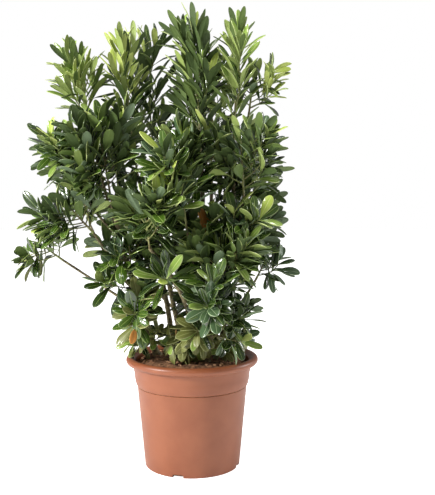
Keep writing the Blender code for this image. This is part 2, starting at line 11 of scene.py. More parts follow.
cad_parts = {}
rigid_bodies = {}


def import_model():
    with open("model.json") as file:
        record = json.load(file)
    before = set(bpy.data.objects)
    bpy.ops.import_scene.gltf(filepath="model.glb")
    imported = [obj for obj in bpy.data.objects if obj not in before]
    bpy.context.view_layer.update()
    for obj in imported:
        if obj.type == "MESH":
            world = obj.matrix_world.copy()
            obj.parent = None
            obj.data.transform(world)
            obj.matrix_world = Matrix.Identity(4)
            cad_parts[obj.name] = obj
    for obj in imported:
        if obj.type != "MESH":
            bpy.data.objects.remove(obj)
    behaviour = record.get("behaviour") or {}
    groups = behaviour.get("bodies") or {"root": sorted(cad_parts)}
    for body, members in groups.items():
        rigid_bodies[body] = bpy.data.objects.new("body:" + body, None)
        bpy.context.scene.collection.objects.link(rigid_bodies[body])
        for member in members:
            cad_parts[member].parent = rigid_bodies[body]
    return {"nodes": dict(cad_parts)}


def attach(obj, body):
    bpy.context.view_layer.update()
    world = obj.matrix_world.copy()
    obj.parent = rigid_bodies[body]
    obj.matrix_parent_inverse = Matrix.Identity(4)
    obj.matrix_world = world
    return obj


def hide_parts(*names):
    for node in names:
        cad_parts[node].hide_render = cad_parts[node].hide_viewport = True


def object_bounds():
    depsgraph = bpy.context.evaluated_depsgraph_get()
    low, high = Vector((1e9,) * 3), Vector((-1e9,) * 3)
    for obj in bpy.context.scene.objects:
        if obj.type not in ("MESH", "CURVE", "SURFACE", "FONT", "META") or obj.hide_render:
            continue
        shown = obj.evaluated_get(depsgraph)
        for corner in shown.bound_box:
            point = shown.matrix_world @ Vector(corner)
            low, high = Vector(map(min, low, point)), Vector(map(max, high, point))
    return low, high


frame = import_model()
cadBounds = [list(corner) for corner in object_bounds()]
print("frame loaded, nodes:", len(frame["nodes"]))

# Camera at the photograph's angle
view = {"place": (0.0, -2.104, 0.727), "pitchDown": 4.87, "turnRight": 1.73, "lens": 61.82, "sensor": 36.0}


def placeCamera():
    data = bpy.data.cameras.new("camera")
    data.lens = view["lens"]
    data.sensor_width = view["sensor"]
    camera = bpy.data.objects.new("camera", data)
    camera.location = view["place"]
    camera.rotation_euler = (radians(90 - view["pitchDown"]), 0.0, radians(-view["turnRight"]))
    bpy.context.scene.collection.objects.link(camera)
    bpy.context.scene.camera = camera
    print("camera placed")


placeCamera()


def colourOf(code):     # sRGB hex to linear
    channels = [int(code[place:place + 2], 16) / 255 for place in (1, 3, 5)]
    linear = [c / 12.92 if c <= 0.04045 else ((c + 0.055) / 1.055) ** 2.4 for c in channels]
    return (*linear, 1.0)


def linkTo(owner, source, output, target, socket):
    owner.node_tree.links.new(source.outputs[output], target.inputs[socket])


# Adds a node to a material or world, sets its sockets, and links others from (node, output) pairs
def addNode(owner, kind, settings=None, links=None):
    node = owner.node_tree.nodes.new(kind)
    for name, value in (settings or {}).items():
        node.inputs[name].default_value = value
    for name, (source, output) in (links or {}).items():
        linkTo(owner, source, output, node, name)
    return node


def newMaterial(name, colour, roughness, extra=None):
    material = bpy.data.materials.new(name)
    material.use_nodes = True
    shader = material.node_tree.nodes["Principled BSDF"]
    shader.inputs["Base Color"].default_value = colourOf(colour)
    shader.inputs["Roughness"].default_value = roughness
    for socket, value in (extra or {}).items():
        shader.inputs[socket].default_value = value
    return material, shader


# Grains this many millimetres across, as bumps of a height in millimetres; gives back where they lie
def addGrain(material, shader, grain, height, detail=3.0):
    place = addNode(material, "ShaderNodeTexCoord")
    grains = addNode(material, "ShaderNodeTexNoise", {"Scale": 1000 / grain, "Detail": detail},
                     {"Vector": (place, "Object")})
    bump = addNode(material, "ShaderNodeBump", {"Strength": 1.0, "Distance": height / 1000},
                   {"Height": (grains, "Fac")})
    linkTo(material, bump, "Normal", shader, "Normal")
    return place


# Patches this many millimetres across, blended between two colours that take the base colour's place
def addPatches(material, shader, place, patch, colours, detail=4.0, span=(0.35, 0.65)):
    patches = addNode(material, "ShaderNodeTexNoise", {"Scale": 1000 / patch, "Detail": detail},
                      {"Vector": (place, "Object")})
    ramp = addNode(material, "ShaderNodeValToRGB", None, {"Fac": (patches, "Fac")})
    for element, position, code in zip(ramp.color_ramp.elements, span, colours):
        element.position = position
        element.color = colourOf(code)
    linkTo(material, ramp, "Color", shader, "Base Color")


# Polypropylene, injection moulded: satin, with a faint dusty mottle and an eggshell grain drawn coarser
# than life so that it shows
def mouldedPolypropylene():
    material, shader = newMaterial("mouldedPolypropylene", "#8a4d2e", 0.42, {"IOR": 1.49})
    place = addGrain(material, shader, 2.0, 0.05)
    addPatches(material, shader, place, 60.0, ("#864a2c", "#8f5233"))
    return material


# Peat and composted bark, loose and matt: crumbs drawn a little coarser than life so that they show
def peatMix():
    material, shader = newMaterial("peatMix", "#5d4030", 0.95, {"Specular IOR Level": 0.2})
    place = addGrain(material, shader, 5.0, 1.6, 8.0)
    addPatches(material, shader, place, 9.0, ("#3b271c", "#8a6448"), 8.0)
    return material


# Shrub bark, grown: dull olive brown with paler corky patches
def shrubBark():
    material, shader = newMaterial("shrubBark", "#6e6346", 0.82, {"Specular IOR Level": 0.3})
    place = addGrain(material, shader, 3.0, 0.5, 8.0)
    addPatches(material, shader, place, 7.0, ("#4b4330", "#8d8260"), 6.0)
    return material


# Green wood of this year's twigs, grown: smooth and faintly waxy, from olive to brown
def greenWood():
    material, shader = newMaterial("greenWood", "#7b7a48", 0.55)
    place = addGrain(material, shader, 1.5, 0.10)
    addPatches(material, shader, place, 30.0, ("#6b5f3b", "#8a9355"))
    return material


# Composted pine bark, torn: dull brown flakes with paler patches
def barkChip():
    material, shader = newMaterial("barkChip", "#94694a", 0.88)
    place = addGrain(material, shader, 2.0, 0.4, 6.0)
    addPatches(material, shader, place, 12.0, ("#6e4a32", "#b08763"))
    return material


# Leaf, grown: thick and leathery, with a fine pucker, glossy where a waxed cuticle coats it.
# Each tint keeps a plain base colour, because colour is dealt out leaf by leaf.
def waxedLeaf(name, colour, roughness, coat):
    extra = {"IOR": 1.45, "Coat Weight": coat, "Coat Roughness": 0.11, "Specular IOR Level": 0.5}
    material, shader = newMaterial(name, colour, roughness, extra)
    addGrain(material, shader, 4.0, 0.18)
    return material


# Pot, turned about the upright axis; sizes as in the frame
pot = {
    "segments": 144, "wall": 0.0025, "height": 0.2780,
    "footRadius": 0.1190, "footEdge": 0.0045, "footRingInner": 0.100, "recess": 0.0025,
    "bossRadius": 0.035, "draft": 0.0020,
    "shoulderRadius": 0.1372, "shoulderHeight": 0.2035, "grooveDepth": 0.0012, "grooveWidth": 0.0016,
    "collarFootRadius": 0.1394, "collarRadius": 0.1444, "collarKnee": 0.236,
    "rimRadius": 0.1650, "bead": 0.0096, "beadFrom": -125, "beadTo": 140, "beadSteps": 22,
    "notches": 4, "notchBearing": -17.5, "notchWidth": 0.028, "notchHeight": 0.009, "notchCorner": 0.004,
    "notchBelow": 0.01, "notchInward": 0.001, "notchOutward": 0.006, "notchSteps": 5,
    "footSteps": 6, "wallSteps": 8, "collarSteps": 6, "collarEase": 0.0005, "sharpFrom": 32,
}


def arcPoints(centre, radius, first, last, steps):
    made = []
    for step in range(steps + 1):
        angle = radians(first + (last - first) * step / steps)
        made.append((centre[0] + radius * cos(angle), centre[1] + radius * sin(angle)))
    return made


def potProfile():
    floor = pot["recess"] + pot["wall"]
    shoulder = pot["shoulderHeight"]
    grooveTop = shoulder + pot["grooveWidth"]
    edge = pot["footEdge"]
    beadCentre = (pot["rimRadius"] - pot["bead"], pot["height"] - pot["bead"])
    slope = (pot["shoulderRadius"] - pot["footRadius"]) / (shoulder - edge)
    points = [(0.0, 0.0), (pot["bossRadius"], 0.0), (pot["bossRadius"] + pot["draft"], pot["recess"])]
    points += [(pot["footRingInner"] - pot["draft"], pot["recess"]), (pot["footRingInner"], 0.0)]
    points += arcPoints((pot["footRadius"] - edge, edge), edge, -90, 0, pot["footSteps"])
    for step in range(1, pot["wallSteps"] + 1):
        height = edge + (shoulder - edge) * step / pot["wallSteps"]
        points.append((pot["footRadius"] + slope * (height - edge), height))
    points.append((pot["shoulderRadius"] - pot["grooveDepth"], shoulder + pot["grooveWidth"] / 2))
    points.append((pot["shoulderRadius"], grooveTop))
    points.append((pot["collarFootRadius"] - pot["collarEase"], grooveTop + pot["grooveDepth"]))
    points.append((pot["collarFootRadius"], grooveTop + 2 * pot["grooveDepth"]))
    for step in range(1, pot["collarSteps"] + 1):
        share = step / pot["collarSteps"]
        flare = (pot["collarRadius"] - pot["collarFootRadius"]) * sin(share * pi / 2)
        radius = pot["collarFootRadius"] + flare
        points.append((radius, grooveTop + (pot["collarKnee"] - grooveTop) * share))
    points += arcPoints(beadCentre, pot["bead"], pot["beadFrom"], pot["beadTo"], pot["beadSteps"])
    inner = pot["collarRadius"] - pot["wall"]
    points += [(inner, beadCentre[1]), (inner, pot["collarKnee"])]
    points.append((pot["shoulderRadius"] - pot["wall"], shoulder))
    points += [(pot["footRadius"] + slope * (floor - edge) - pot["wall"], floor), (0.0, floor)]
    return points


def meshObject(name, points, faces, material, smooth=True):
    mesh = bpy.data.meshes.new(name)
    mesh.from_pydata([tuple(point) for point in points], [], faces)
    mesh.materials.append(material)
    made = bpy.data.objects.new(name, mesh)
    bpy.context.scene.collection.objects.link(made)
    if smooth:
        mesh.shade_smooth()
    return made


# Profile turned about the upright axis, on which both its ends lie
def turned(profile, segments):
    points = [(0.0, 0.0, profile[0][1])]
    for radius, height in profile[1:-1]:
        for step in range(segments):
            bearing = tau * step / segments
            points.append((radius * cos(bearing), radius * sin(bearing), height))
    last = len(points)
    points.append((0.0, 0.0, profile[-1][1]))
    faces = []
    rings = len(profile) - 2
    for step in range(segments):
        after = (step + 1) % segments
        faces.append((0, 1 + after, 1 + step))
        top = 1 + (rings - 1) * segments
        faces.append((last, top + step, top + after))
        for ring in range(rings - 1):
            low = 1 + ring * segments
            high = low + segments
            faces.append((low + step, low + after, high + after, high + step))
    return points, faces


# Arched cutters through the foot ring, one for each drain notch
def notchCutters():
    cutters = bpy.data.collections.new("notchCutters")
    bpy.context.scene.collection.children.link(cutters)
    half = pot["notchWidth"] / 2
    reach = (pot["footRingInner"] - pot["notchInward"], pot["footRadius"] + pot["notchOutward"])
    corner = pot["notchCorner"]
    top = pot["notchHeight"] - corner
    outline = [(-half, -pot["notchBelow"]), (half, -pot["notchBelow"])]
    outline += arcPoints((half - corner, top), corner, 0, 90, pot["notchSteps"])
    outline += arcPoints((corner - half, top), corner, 90, 180, pot["notchSteps"])
    for step in range(pot["notches"]):
        turn = Matrix.Rotation(radians(pot["notchBearing"]) + tau * step / pot["notches"], 3, "Z")
        near = [turn @ Vector((reach[0], across, height)) for across, height in outline]
        far = [turn @ Vector((reach[1], across, height)) for across, height in outline]
        count = len(outline)
        sides = [tuple(reversed(range(count))), tuple(range(count, 2 * count))]
        for index in range(count):
            after = (index + 1) % count
            sides.append((index, after, count + after, count + index))
        mesh = bpy.data.meshes.new("notchCutter")
        mesh.from_pydata(near + far, [], sides)
        cutters.objects.link(bpy.data.objects.new("notchCutter", mesh))
    return cutters


def makePot():
    points, faces = turned(potProfile(), pot["segments"])
    shell = meshObject("potShell", points, faces, mouldedPolypropylene())
    cutters = notchCutters()
    cut = shell.modifiers.new("notches", "BOOLEAN")
    cut.operation = "DIFFERENCE"
    cut.operand_type = "COLLECTION"
    cut.collection = cutters
    bpy.context.view_layer.update()
    seen = shell.evaluated_get(bpy.context.evaluated_depsgraph_get())
    cutMesh = bpy.data.meshes.new_from_object(seen)
    shell.modifiers.remove(cut)
    shell.data = cutMesh
    for cutter in list(cutters.objects):
        bpy.data.objects.remove(cutter, do_unlink=True)
    bpy.data.collections.remove(cutters)
    shell.data.shade_smooth()
    shell.data.set_sharp_from_angle(angle=radians(pot["sharpFrom"]))
    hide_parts("pot")
    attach(shell, "root")
    print("pot made")


makePot()


# Foot x and y, tip x, y and z, bow towards the tip's side, foot radius, tip radius
stems = {
    "stem_left": (-0.088, 0.012, -0.190, -0.068, 0.655, 0.006, 0.0085, 0.0046),
    "stem_front_left": (0.004, -0.050, -0.098, -0.126, 0.556, -0.040, 0.0072, 0.0042),
    "stem_mid_left": (-0.045, 0.042, -0.136, 0.028, 0.730, -0.008, 0.0070, 0.0040),
    "stem_centre": (0.014, 0.000, 0.024, -0.002, 0.770, 0.008, 0.0080, 0.0045),
    "stem_right": (0.068, 0.004, 0.102, -0.014, 0.780, 0.012, 0.0075, 0.0042),
    "stem_front_right": (0.036, -0.058, 0.058, -0.118, 0.474, 0.010, 0.0062, 0.0040),
    "stem_rear_left": (-0.020, 0.078, -0.096, 0.112, 0.720, 0.012, 0.0072, 0.0040),
    "stem_rear_right": (0.046, 0.066, 0.052, 0.158, 0.720, 0.020, 0.0075, 0.0042),
}

# Stem it leaves, share of the way up, tip x, y and z, sag, foot radius
boughs = {
    "bough_top_left": ("stem_left", 0.72, -0.246, 0.004, 0.830, 0.020, 0.0040),
    "bough_far_left": ("stem_left", 0.80, -0.276, -0.024, 0.700, 0.012, 0.0036),
    "bough_left_middle": ("stem_left", 0.56, -0.232, -0.092, 0.590, 0.010, 0.0036),
    "bough_low_left": ("stem_left", 0.30, -0.314, -0.030, 0.520, 0.000, 0.0036),
    "bough_left_rear": ("stem_left", 0.44, -0.262, 0.088, 0.600, 0.018, 0.0036),
    "bough_front_upper": ("stem_centre", 0.36, -0.012, -0.118, 0.600, 0.022, 0.0038),
    "bough_right_front": ("stem_right", 0.52, 0.124, -0.086, 0.668, 0.012, 0.0036),
    "bough_right_upper": ("stem_right", 0.93, 0.140, 0.004, 0.872, 0.008, 0.0034),
    "bough_right_low": ("stem_right", 0.30, 0.144, -0.054, 0.545, 0.010, 0.0036),
    "bough_far_right": ("stem_right", 0.17, 0.158, -0.036, 0.474, 0.008, 0.0036),
    "bough_rear_left": ("stem_rear_left", 0.50, -0.196, 0.166, 0.700, 0.018, 0.0036),
    "bough_rear_low_left": ("stem_rear_left", 0.24, -0.140, 0.196, 0.500, 0.018, 0.0036),
    "bough_rear_middle": ("stem_rear_right", 0.46, -0.018, 0.214, 0.690, 0.016, 0.0036),
    "bough_rear_right": ("stem_rear_right", 0.50, 0.146, 0.172, 0.680, 0.018, 0.0036),
    "bough_rear_low_right": ("stem_rear_right", 0.22, 0.134, 0.144, 0.480, 0.014, 0.0036),
}

# Limb it grows on, share of the way up it (1 is its tip), twig tip x, y and z, habit,
# leaves meant for the frame's mass, size of the leaves
masses = {
    "foliage_top_centre": ("stem_centre", 1.0, 0.006, 0.000, 1.062, "upright", 34, 0.94),
    "foliage_top_right": ("stem_right", 1.0, 0.112, -0.020, 1.058, "upright", 30, 0.88),
    "foliage_top_middle_left": ("stem_mid_left", 1.0, -0.172, 0.018, 1.034, "upright", 28, 0.82),
    "foliage_top_left": ("bough_top_left", 1.0, -0.272, 0.000, 0.988, "upright", 20, 0.82),
    "foliage_top_rear_left": ("stem_rear_left", 1.0, -0.116, 0.104, 1.040, "upright", 26, 0.88),
    "foliage_top_rear_right": ("stem_rear_right", 1.0, 0.056, 0.172, 0.984, "upright", 24, 0.90),
    "foliage_left_upper": ("stem_left", 1.0, -0.218, -0.082, 0.836, "bushy", 24, 0.94),
    "foliage_far_left": ("bough_far_left", 1.0, -0.332, -0.024, 0.786, "bushy", 18, 0.80),
    "foliage_left_middle": ("bough_left_middle", 1.0, -0.286, -0.094, 0.650, "bushy", 18, 0.88),
    "foliage_low_left": ("bough_low_left", 1.0, -0.354, -0.036, 0.550, "whorl", 12, 0.78),
    "foliage_left_rear": ("bough_left_rear", 1.0, -0.286, 0.108, 0.700, "bushy", 18, 0.88),
    "foliage_front_upper": ("bough_front_upper", 1.0, -0.034, -0.140, 0.774, "bushy", 24, 0.94),
    "foliage_front_left": ("stem_front_left", 1.0, -0.108, -0.134, 0.640, "bushy", 18, 0.94),
    "foliage_front_right": ("stem_front_right", 1.0, 0.060, -0.124, 0.530, "bushy", 16, 0.88),
    "foliage_right_front": ("bough_right_front", 1.0, 0.116, -0.084, 0.806, "bushy", 20, 0.84),
    "foliage_right_upper": ("bough_right_upper", 1.0, 0.152, 0.000, 0.964, "bushy", 16, 0.72),
    "foliage_right_low": ("bough_right_low", 1.0, 0.160, -0.052, 0.602, "whorl", 14, 0.80),
    "foliage_far_right": ("bough_far_right", 1.0, 0.174, -0.040, 0.508, "whorl", 10, 0.80),
    "foliage_rear_left": ("bough_rear_left", 1.0, -0.206, 0.160, 0.826, "bushy", 20, 0.88),
    "foliage_rear_low_left": ("bough_rear_low_left", 1.0, -0.162, 0.196, 0.600, "bushy", 18, 0.86),
    "foliage_rear_middle": ("bough_rear_middle", 1.0, -0.026, 0.212, 0.820, "bushy", 20, 0.88),
    "foliage_rear_right": ("bough_rear_right", 1.0, 0.148, 0.160, 0.800, "bushy", 20, 0.84),
    "foliage_rear_low_right": ("bough_rear_low_right", 1.0, 0.142, 0.150, 0.576, "bushy", 16, 0.86),
    "foliage_centre_upper": ("stem_centre", 0.80, 0.040, -0.094, 0.812, "bushy", 18, 0.90),
    "foliage_centre_middle": ("stem_centre", 0.42, 0.030, -0.084, 0.590, "whorl", 14, 0.94),
    "foliage_right_middle": ("stem_right", 0.44, 0.100, -0.104, 0.640, "whorl", 14, 0.90),
    "foliage_right_side": ("stem_right", 0.64, 0.168, 0.062, 0.716, "bushy", 14, 0.86),
    "foliage_left_inner": ("stem_left", 0.52, -0.150, -0.078, 0.566, "whorl", 12, 0.90),
    "foliage_low_front_left": ("stem_left", 0.26, -0.128, -0.088, 0.426, "whorl", 14, 0.80),
    "foliage_low_front_right": ("stem_front_right", 0.62, 0.066, -0.150, 0.448, "whorl", 14, 0.84),
    "foliage_low_right": ("stem_front_right", 0.30, 0.100, -0.108, 0.410, "whorl", 12, 0.74),
    "foliage_low_rear": ("stem_rear_right", 0.16, 0.010, 0.146, 0.440, "whorl", 14, 0.84),
    "foliage_basal_left": ("stem_left", 0.10, -0.112, -0.040, 0.328, "whorl", 10, 0.56),
    "foliage_basal_front": ("stem_front_left", 0.20, -0.020, -0.096, 0.340, "basal", 14, 0.70),
    "foliage_basal_right": ("stem_right", 0.08, 0.096, -0.034, 0.324, "whorl", 10, 0.56),
}

# How the leaves stand on each kind of shoot: degrees to the twig at its tip and at its foot, share of the
# main twig that is bare, side twigs and degrees to them, and lift to the light; then the leaves' width
# for their length, how many there are for each one meant for the frame, and their length beside others'
habits = {
    "upright": {
        "atTip": 20, "atFoot": 64, "bare": 0.00, "side": 5, "sideAngle": 34, "lift": 0.14,
        "width": 0.178, "more": 4.2, "length": 1.0,
    },
    "bushy": {
        "atTip": 26, "atFoot": 84, "bare": 0.10, "side": 9, "sideAngle": 52, "lift": 0.16,
        "width": 0.265, "more": 6.2, "length": 0.90,
    },
    "whorl": {
        "atTip": 38, "atFoot": 92, "bare": 0.30, "side": 4, "sideAngle": 50, "lift": 0.10,
        "width": 0.37, "more": 4.8, "length": 0.80,
    },
    "basal": {
        "atTip": 70, "atFoot": 104, "bare": 0.30, "side": 3, "sideAngle": 60, "lift": -0.24,
        "width": 0.38, "more": 6.0, "length": 0.84,
    },
}
goldenAngle = 137.5     # degrees round the twig from one leaf to the next


def pointOn(route, share):
    place = min(max(share, 0.0), 1.0) * (len(route) - 1)
    index = min(int(place), len(route) - 2)
    return route[index].lerp(route[index + 1], place - index)


def headingOn(route, share):
    index = min(int(share * (len(route) - 1)), len(route) - 2)
    return (route[index + 1] - route[index]).normalized()


# Limb that bends from the straight line between its ends, in short pieces
def bentRoute(start, end, bend, piece):
    pieces = max(3, round((end - start).length / piece))
    return [start.lerp(end, step / pieces) + bend * 4 * (step / pieces) * (1 - step / pieces)
            for step in range(pieces + 1)]


# Collects tubes into one mesh; a relief function gives each point's swelling
class TubeMesh:
    def __init__(self):
        self.points = []
        self.faces = []

    def add(self, route, radii, sides, relief=None):
        first = len(self.points)
        side = Vector((1.0, 0.0, 0.0))
        for index, centre in enumerate(route):
            before = route[max(index - 1, 0)]
            after = route[min(index + 1, len(route) - 1)]
            facing = (after - before).normalized()
            if abs(facing.dot(side)) > 0.95:     # too nearly along the limb to turn about it
                side = facing.orthogonal()
            side = (side - facing * side.dot(facing)).normalized()
            other = facing.cross(side)
            for step in range(sides):
                turn = tau * step / sides
                outward = side * cos(turn) + other * sin(turn)
                swelling = relief(centre, outward, index) if relief else 1.0
                self.points.append(centre + outward * radii[index] * swelling)
        self.faces.append(tuple(first + step for step in reversed(range(sides))))
        for ring in range(len(route) - 1):
            for step in range(sides):
                low = first + ring * sides
                after = (step + 1) % sides
                self.faces.append((low + step, low + after, low + sides + after, low + sides + step))
        top = first + (len(route) - 1) * sides
        self.faces.append(tuple(range(top, top + sides)))

    def finish(self, name, material):
        return meshObject(name, self.points, self.faces, material)


# Fissures along the limb, coarse and fine, and a ring of leaf scars at each joint of its growth
bark = {
    "fissure": 0.11, "fissureScale": 260.0, "stretch": 0.22, "round": 2.2,
    "fineFissure": 0.5, "fineScale": 2.7, "scar": 0.10, "scarEvery": 9,
}


def barkRelief(centre, outward, index):
    across = Vector((outward.x * bark["round"], outward.y * bark["round"], 0.0))
    spot = across + centre * bark["fissureScale"] * bark["stretch"]
    fine = bark["fineFissure"] * bark["fissure"] * noise.noise(spot * bark["fineScale"])
    swelling = 1.0 + bark["fissure"] * noise.noise(spot) + fine
    if index % bark["scarEvery"] == 0:
        swelling += bark["scar"]
    return swelling


def taper(foot, tip, count):
    return [foot + (tip - foot) * step / (count - 1) for step in range(count)]


# Stems rise from the root ball with a flare, and boughs leave them; all end where a shoot starts
limbForm = {
    "stemFoot": 0.2743, "flare": 0.55, "flareHeight": 0.018, "shootRadius": 0.0028,
    "piece": 0.0045, "stemSides": 14, "boughSides": 10,
}


def growLimbs():
    wood = TubeMesh()
    grown = {}
    for name, (footX, footY, tipX, tipY, tipZ, bow, footRadius, tipRadius) in stems.items():
        foot = Vector((footX, footY, limbForm["stemFoot"]))
        tip = Vector((tipX, tipY, tipZ))
        aside = Vector((tipX - footX, tipY - footY, 0.0)).normalized()
        route = bentRoute(foot, tip, aside * bow, limbForm["piece"])
        radii = taper(footRadius, tipRadius, len(route))
        for index, centre in enumerate(route):
            near = max(0.0, 1 - (centre.z - foot.z) / limbForm["flareHeight"])
            radii[index] *= 1 + limbForm["flare"] * near ** 2
        wood.add(route, radii, limbForm["stemSides"], barkRelief)
        grown[name] = route
    for name, (carrier, share, tipX, tipY, tipZ, sag, footRadius) in boughs.items():
        foot = pointOn(grown[carrier], share)
        route = bentRoute(foot, Vector((tipX, tipY, tipZ)), Vector((0.0, 0.0, -sag)), limbForm["piece"])
        radii = taper(footRadius, limbForm["shootRadius"], len(route))
        wood.add(route, radii, limbForm["boughSides"], barkRelief)
        grown[name] = route
    piece = wood.finish("woodyLimbs", shrubBark())
    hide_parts(*stems, *boughs)
    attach(piece, "root")
    print("limbs grown:", len(grown))
    return grown


limbs = growLimbs()


# Surfaces that leaves keep off: the frame's own limbs, pot and mix
def surfaceTree(names):
    points, faces = [], []
    for name in names:
        mesh = frame["nodes"][name].data
        first = len(points)
        points += [vertex.co.copy() for vertex in mesh.vertices]
        faces += [[first + index for index in polygon.vertices] for polygon in mesh.polygons]
    return BVHTree.FromPolygons(points, faces)


obstacles = surfaceTree(["pot", "potting_mix", *stems, *boughs])
lowest, highest = (np.array(corner) for corner in cadBounds)

# Twigs of a shoot: its main twig, the side twigs along it, and how a side twig seeks a free place
twigForm = {
    "tipRadius": 0.0015, "sides": 7, "piece": 0.012, "sag": 0.10,
    "sideRadius": 0.0018, "sideTipRadius": 0.0011, "sideSides": 5, "sidePiece": 0.010,
    "sideFrom": 0.16, "sideSpan": 0.68, "sideLength": 0.084, "sideLengths": (0.65, 1.15), "sideBend": -0.06,
    "sideTurn": 1.3, "retryTurn": 0.7, "tries": 12, "betweenAt": 0.6,
}


def mainTwig(name):
    carrier, share, tipX, tipY, tipZ = masses[name][:5]
    foot = pointOn(limbs[carrier], share)
    tip = Vector((tipX, tipY, tipZ))
    sag = twigForm["sag"] * (tip - foot).length if share < 1.0 else 0.0
    return bentRoute(foot, tip, Vector((0.0, 0.0, -sag)), twigForm["piece"])


# A mass owns the space nearer to the sites along its main twig than to those of other masses, and a
# slack beyond it
space = {
    "siteShares": (0.15, 0.45, 0.75, 1.0), "siteBeyond": 0.035,
    "slack": 0.024, "boxSlack": 0.004, "limbClearance": 0.0008,
}


def spaceSites(route):
    along = [pointOn(route, share) for share in space["siteShares"]]
    return along + [route[-1] + headingOn(route, 1.0) * space["siteBeyond"]]


mainTwigs = {name: mainTwig(name) for name in masses}
sites = {name: np.array(spaceSites(route)) for name, route in mainTwigs.items()}


def insideSpace(points, rule):
    spots = np.array(points)
    own = np.sqrt(((spots[:, None] - rule["own"][None]) ** 2).sum(2)).min(1)
    other = np.sqrt(((spots[:, None] - rule["others"][None]) ** 2).sum(2)).min(1)
    inBox = np.all(spots > lowest - space["boxSlack"]) and np.all(spots < highest + space["boxSlack"])
    return bool(inBox and np.all(other - own > -2 * space["slack"]))


def clearOfLimbs(points):
    return all(obstacles.find_nearest(point, space["limbClearance"])[0] is None for point in points)


# How a leaf takes its place: it faces the tip and the sky, rolls a little, and where it would leave its
# space or touch a limb it is turned, raised and shortened step by step
placing = {
    "facesTip": 0.7, "facesSky": 0.5, "roll": 0.65, "tries": 12, "turns": (0.5, 1.1),
    "raise": 0.045, "raiseSteps": 7, "shorten": 0.05, "shortenSteps": 5, "leastFacing": 0.15,
    "halfWidth": 0.14, "widestAt": 0.7, "middleAt": 0.5, "stalkAt": 0.28,
}


def placeLeaf(rule, twig, share, bearing, angle, length, lift):
    roll = rule["random"].uniform(-placing["roll"], placing["roll"])
    heading = headingOn(twig, share)
    side = heading.orthogonal().normalized()
    place = pointOn(twig, share)
    for attempt in range(placing["tries"]):
        turnedBy = bearing + attempt * rule["random"].uniform(*placing["turns"])
        raised = angle * (1 - placing["raise"] * (attempt % placing["raiseSteps"]))
        size = length * (1 - placing["shorten"] * (attempt % placing["shortenSteps"]))
        outward = Matrix.Rotation(turnedBy, 3, heading) @ side
        along = (heading * cos(raised) + outward * sin(raised) + Vector((0.0, 0.0, lift))).normalized()
        upward = heading * placing["facesTip"] + Vector((0.0, 0.0, placing["facesSky"]))
        facing = upward - along * upward.dot(along)
        if facing.length < placing["leastFacing"]:
            continue
        facing = Matrix.Rotation(roll, 3, along) @ facing.normalized()
        across = facing.cross(along)
        half = across * size * placing["halfWidth"]
        widest = place + along * size * placing["widestAt"]
        middle = place + along * size * placing["middleAt"]
        stalk = place + along * size * placing["stalkAt"]
        probes = [place + along * size, middle, widest + half, widest - half]
        if insideSpace(probes, rule) and clearOfLimbs(probes + [stalk]):
            return {"root": place, "along": along, "across": across, "facing": facing, "length": size}
    return None


def sideTwigs(rule, route, habit):
    made = []
    count = habit["side"]
    for index in range(count):
        share = twigForm["sideFrom"] + twigForm["sideSpan"] * (index + 0.5) / count
        heading = headingOn(route, share)
        side = heading.orthogonal().normalized()
        place = pointOn(route, share)
        for attempt in range(twigForm["tries"]):
            turn = radians(goldenAngle) * twigForm["sideTurn"] * index
            bearing = rule["first"] + turn + twigForm["retryTurn"] * attempt
            outward = Matrix.Rotation(bearing, 3, heading) @ side
            tilt = radians(habit["sideAngle"])
            along = heading * cos(tilt) + outward * sin(tilt)
            length = twigForm["sideLength"] * rule["size"] * rule["random"].uniform(*twigForm["sideLengths"])
            end = place + along * length
            bend = heading * length * twigForm["sideBend"]
            between = place.lerp(end, twigForm["betweenAt"])
            if insideSpace([end, between], rule) and clearOfLimbs([end]):
                made.append(bentRoute(place, end, bend, twigForm["sidePiece"]))
                break
    return made


# Short inner shoots that close the crown round the stems: limb and shares of the way up it
innerShoots = {
    "foliage_front_left": ("stem_front_left", (0.62, 0.74, 0.86)),
    "foliage_centre_middle": ("stem_centre", (0.24, 0.34, 0.44, 0.54)),
    "foliage_front_right": ("stem_front_right", (0.45, 0.65, 0.85)),
    "foliage_right_middle": ("stem_right", (0.30, 0.40, 0.50, 0.60)),
    "foliage_left_inner": ("stem_left", (0.46, 0.54, 0.62)),
    "foliage_rear_middle": ("stem_rear_right", (0.34, 0.46, 0.58, 0.70)),
    "foliage_rear_low_left": ("stem_rear_left", (0.34, 0.46, 0.58, 0.70)),
    "foliage_centre_upper": ("stem_centre", (0.66, 0.74, 0.82)),
    "foliage_left_rear": ("stem_mid_left", (0.40, 0.52, 0.64, 0.76)),
}
innerForm = {
    "length": 0.075, "lengths": (0.75, 1.2), "along": 0.55, "outward": 0.85, "turn": 2.4, "bend": -0.004,
    "leaves": 3,
}


def innerTwigs(rule):
    carrier, shares = innerShoots[rule["name"]]
    route = limbs[carrier]
    made = []
    for index, share in enumerate(shares):
        heading = headingOn(route, share)
        turn = rule["first"] + innerForm["turn"] * index
        outward = Matrix.Rotation(turn, 3, heading) @ heading.orthogonal().normalized()
        place = pointOn(route, share)
        along = heading * innerForm["along"] + outward * innerForm["outward"]
        end = place + along * innerForm["length"] * rule["random"].uniform(*innerForm["lengths"])
        made.append(bentRoute(place, end, heading * innerForm["bend"], twigForm["sidePiece"]))
    sitesThere = np.array([place for twig in made for place in (twig[0], twig[-1])])
    rule["own"] = np.concatenate([rule["own"], sitesThere])
    return made


